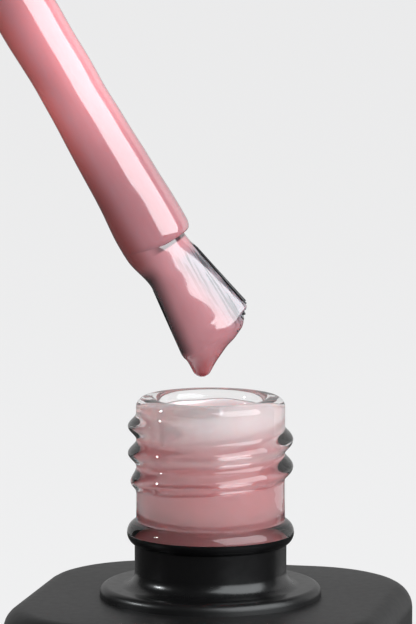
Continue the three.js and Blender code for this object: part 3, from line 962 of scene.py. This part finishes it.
def streaks_along_tuft(tree, where):
    """Narrow streaks that run down the tuft, as the filaments under thin polish do."""
    turned = add(tree, "ShaderNodeMapping", vector_type="POINT")
    turned.inputs["Rotation"].default_value = UPRIGHT_TO_HELD.inverted().to_euler()
    tree.links.new(where, turned.inputs["Vector"])
    squeezed = add(tree, "ShaderNodeMapping", vector_type="POINT")
    squeezed.inputs["Rotation"].default_value = (0, math.radians(11), 0)
    squeezed.inputs["Scale"].default_value = (1, 1, 0.05)
    tree.links.new(turned.outputs["Vector"], squeezed.inputs["Vector"])
    return noise_at(tree, squeezed.outputs["Vector"], 4200, 2)


def load_colour(tree, where):
    """Pink in the middle of the fan, with the dark bristles showing through its thin edges; the dark of the
    left edge is widened into painted shade.
    """
    across = along(tree, where, UPRIGHT_TO_HELD, "X")
    down = along(tree, where, UPRIGHT_TO_HELD, "Z")
    on_tuft = between(tree, down, (STEM_END - 9.0) * MM, (STEM_END - 8.0) * MM, 0.0, 1.0)
    started = between(tree, down, (STEM_END - 0.6) * MM, (STEM_END - 2.0) * MM, 0.0, 1.0)
    shown = product(tree, on_tuft, started)
    body = mixed(tree, noise_at(tree, where, 240, 2), (0.44, 0.185, 0.205), (0.51, 0.235, 0.26))
    tip = between(tree, down, (STEM_END - 8.6) * MM, (STEM_END - 10.4) * MM, 0.0, 1.0)
    wet = mixed(tree, tip, body, (0.33, 0.09, 0.10))
    # Near the sleeve, the load's left side takes the stem's painted shade.
    near_sleeve = between(tree, down, (STEM_END - 2.4) * MM, (STEM_END - 0.2) * MM, 0.0, 1.0)
    wet = mixed(tree, product(tree, near_sleeve, shaded_side(tree, where)), wet, SHADED_PINK)
    under_step = product(
        tree,
        between(tree, down, (STEM_END - 0.38) * MM, (STEM_END - 0.2) * MM, 0.0, 1.0),
        between(tree, across, -1.0 * MM, 0.4 * MM, 0.0, 0.9),
    )
    wet = mixed(tree, under_step, wet, (0.05, 0.03, 0.035))
    # At the left edge the bristles show through thin polish, and the dark band is widened into painted shade
    # where the fan turns from the light.
    from_left = summed(tree, across, down, -0.1)
    left_edge = -2.1 - 0.1 * STEM_END
    thin_and_shaded_left = between(tree, from_left, (left_edge + 1.5) * MM, (left_edge - 0.1) * MM, 0.0, 1.0)
    wet = mixed(tree, product(tree, thin_and_shaded_left, shown), wet, (0.016, 0.009, 0.010))
    from_right = summed(tree, across, down, 0.19)
    right_edge = 1.95 + 0.19 * STEM_END
    thin_right = between(tree, from_right, (right_edge - 2.6) * MM, (right_edge - 0.6) * MM, 0.0, 1.0)
    streaks = between(tree, streaks_along_tuft(tree, where), 0.44, 0.58, 0.0, 1.0)
    veil = mixed(tree, streaks, (0.27, 0.22, 0.25), (0.10, 0.09, 0.10))
    return mixed(tree, product(tree, thin_right, shown), wet, veil)


tuft_polish(gel_polish("polish_on_tuft", load_colour, 0.4, 0.0008))

# %% [markdown]
# ## Camera, floor and light
#
# The bottle stands in a dark room with a pale sweep behind it. One broad softbox, high on the right, draws
# the long highlights down the stem and the neck, and a small lamp on the left leaves its pin-point marks. The
# dark sides of the room give the clear glass its dark edges. Three white cards stand behind the bottle, each
# met by one kind of ray only, so that the sweep shows in the reflections or through the glass and doesn't
# light the pieces.

# %% Camera
DISTANCE = 320 * MM
VIEW_HEIGHT = 48.6 * MM
VIEW_AZIMUTH, VIEW_ELEVATION = BRUSH_YAW, math.radians(7.4)
to_right = Vector((math.cos(VIEW_AZIMUTH), math.sin(VIEW_AZIMUTH), 0))
forwards = Vector((-math.sin(VIEW_AZIMUTH), math.cos(VIEW_AZIMUTH), 0))
looking = forwards * math.cos(VIEW_ELEVATION) - Vector((0, 0, math.sin(VIEW_ELEVATION)))
middle = Vector((0, 0, (LIP_Z + 6.7) * MM)) - to_right * 0.2 * MM

lens = bpy.data.cameras.new("camera")
lens.sensor_fit, lens.sensor_height = "VERTICAL", 24
lens.lens = lens.sensor_height * DISTANCE / VIEW_HEIGHT
lens.clip_start, lens.clip_end = 0.01, 50
camera = bpy.data.objects.new("camera", lens)
camera.location = middle - looking * DISTANCE
camera.rotation_euler = looking.to_track_quat("-Z", "Y").to_euler()
bpy.context.scene.collection.objects.link(camera)
bpy.context.scene.camera = camera
print("camera at", [round(x, 3) for x in camera.location])


# %% Floor and sweep
def stage_card(name, centre, facing, width, height, strength, seen_by):
    """A flat white glowing card that only one kind of ray meets."""
    bm = bmesh.new()
    bmesh.ops.create_grid(bm, x_segments=1, y_segments=1, size=0.5)
    bmesh.ops.scale(bm, vec=(width, height, 1), verts=bm.verts)
    turn = facing.to_track_quat("Z", "Y").to_matrix().to_4x4()
    bmesh.ops.transform(bm, matrix=Matrix.Translation(centre) @ turn, verts=bm.verts)
    mesh = bpy.data.meshes.new(name)
    bm.to_mesh(mesh)
    bm.free()
    card = bpy.data.objects.new(name, mesh)
    bpy.context.scene.collection.objects.link(card)
    material = bpy.data.materials.new(name)
    material.use_nodes = True
    tree = material.node_tree
    tree.nodes.remove(tree.nodes["Principled BSDF"])
    glow = add(tree, "ShaderNodeEmission", Color=(1, 1, 1, 1), Strength=strength)
    tree.links.new(glow.outputs["Emission"], tree.nodes["Material Output"].inputs["Surface"])
    mesh.materials.append(material)
    for kind in ("camera", "diffuse", "glossy", "transmission", "shadow"):
        setattr(card, "visible_" + kind, kind == seen_by)


def pale_floor():
    """A pale floor that neither reflections nor diffuse light meet."""
    bm = bmesh.new()
    bmesh.ops.create_circle(bm, cap_ends=True, segments=96, radius=6)
    mesh = bpy.data.meshes.new("floor")
    bm.to_mesh(mesh)
    bm.free()
    floor = bpy.data.objects.new("floor", mesh)
    floor.location.z = -0.0002
    bpy.context.scene.collection.objects.link(floor)
    material, tree, shader, _ = new_material("pale_floor")
    shader.inputs["Base Color"].default_value = (0.8, 0.8, 0.8, 1)
    shader.inputs["Roughness"].default_value = 0.9
    shader.inputs["Specular IOR Level"].default_value = 0.0
    glow = add(tree, "ShaderNodeEmission", Color=(0.88, 0.88, 0.885, 1), Strength=1.0)
    mix = add(tree, "ShaderNodeMixShader", Fac=0.1)
    tree.links.new(glow.outputs["Emission"], mix.inputs[1])
    tree.links.new(shader.outputs["BSDF"], mix.inputs[2])
    tree.links.new(mix.outputs["Shader"], tree.nodes["Material Output"].inputs["Surface"])
    mesh.materials.append(material)
    floor.visible_glossy = False
    floor.visible_diffuse = False


pale_floor()
behind = forwards * 0.42 + Vector((0, 0, 0.2))
higher = Vector((0, 0, 0.02))
stage_card("sweep_right", behind + to_right * 0.34, -to_right - forwards, 0.5, 0.5, 0.7, "glossy")
stage_card("sweep_glow", behind + higher, -forwards, 0.8, 0.5, 0.5, "glossy")
stage_card("sweep_behind", behind + higher + forwards * 0.01, -forwards, 0.9, 0.5, 0.8, "transmission")


# %% Lamps and the room
COOL_WHITE = (0.94, 0.98, 1.0)


def softbox(name, azimuth, elevation, distance, width, height, power, aim):
    """An area lamp; azimuth is measured from the camera's side towards the right."""
    a, e = math.radians(azimuth), math.radians(elevation)
    way = (to_right * math.sin(a) - forwards * math.cos(a)) * math.cos(e) + Vector((0, 0, math.sin(e)))
    data = bpy.data.lights.new(name, "AREA")
    data.shape, data.size, data.size_y, data.energy = "RECTANGLE", width, height, power
    data.color = COOL_WHITE
    lamp = bpy.data.objects.new(name, data)
    lamp.location = aim + way * distance
    lamp.rotation_euler = (-way).to_track_quat("-Z", "Y").to_euler()
    lamp.visible_camera = False
    bpy.context.scene.collection.objects.link(lamp)


aim = Vector((0, 0, LIP_Z * MM))
softbox("softbox_right", 50, 30, 0.45, 0.62, 0.5, 4.3, aim)
softbox("pin_left", -88, 25, 0.5, 0.035, 0.05, 0.8, aim)

# Diffuse light comes from all round, while reflections and clear glass meet a nearly dark room.
SOFT_LIGHT, DARK_ROOM = 0.46, 0.06
world = bpy.data.worlds.new("room")
bpy.context.scene.world = world
world.use_nodes = True
room = world.node_tree
dark = room.nodes["Background"]
dark.inputs["Color"].default_value = (1, 1, 1, 1)
pale = add(room, "ShaderNodeBackground", Color=(0.83, 0.83, 0.835, 1), Strength=1.0)
path = add(room, "ShaderNodeLightPath")
choose = add(room, "ShaderNodeMixShader")
ambient = add(room, "ShaderNodeMath", operation="MULTIPLY_ADD")
ambient.inputs[1].default_value = SOFT_LIGHT - DARK_ROOM
ambient.inputs[2].default_value = DARK_ROOM
room.links.new(path.outputs["Is Diffuse Ray"], ambient.inputs[0])
room.links.new(ambient.outputs[0], dark.inputs["Strength"])
room.links.new(path.outputs["Is Camera Ray"], choose.inputs["Fac"])
room.links.new(dark.outputs["Background"], choose.inputs[1])
room.links.new(pale.outputs["Background"], choose.inputs[2])
room.links.new(choose.outputs["Shader"], room.nodes["World Output"].inputs["Surface"])
bpy.context.scene.view_settings.view_transform = "Standard"
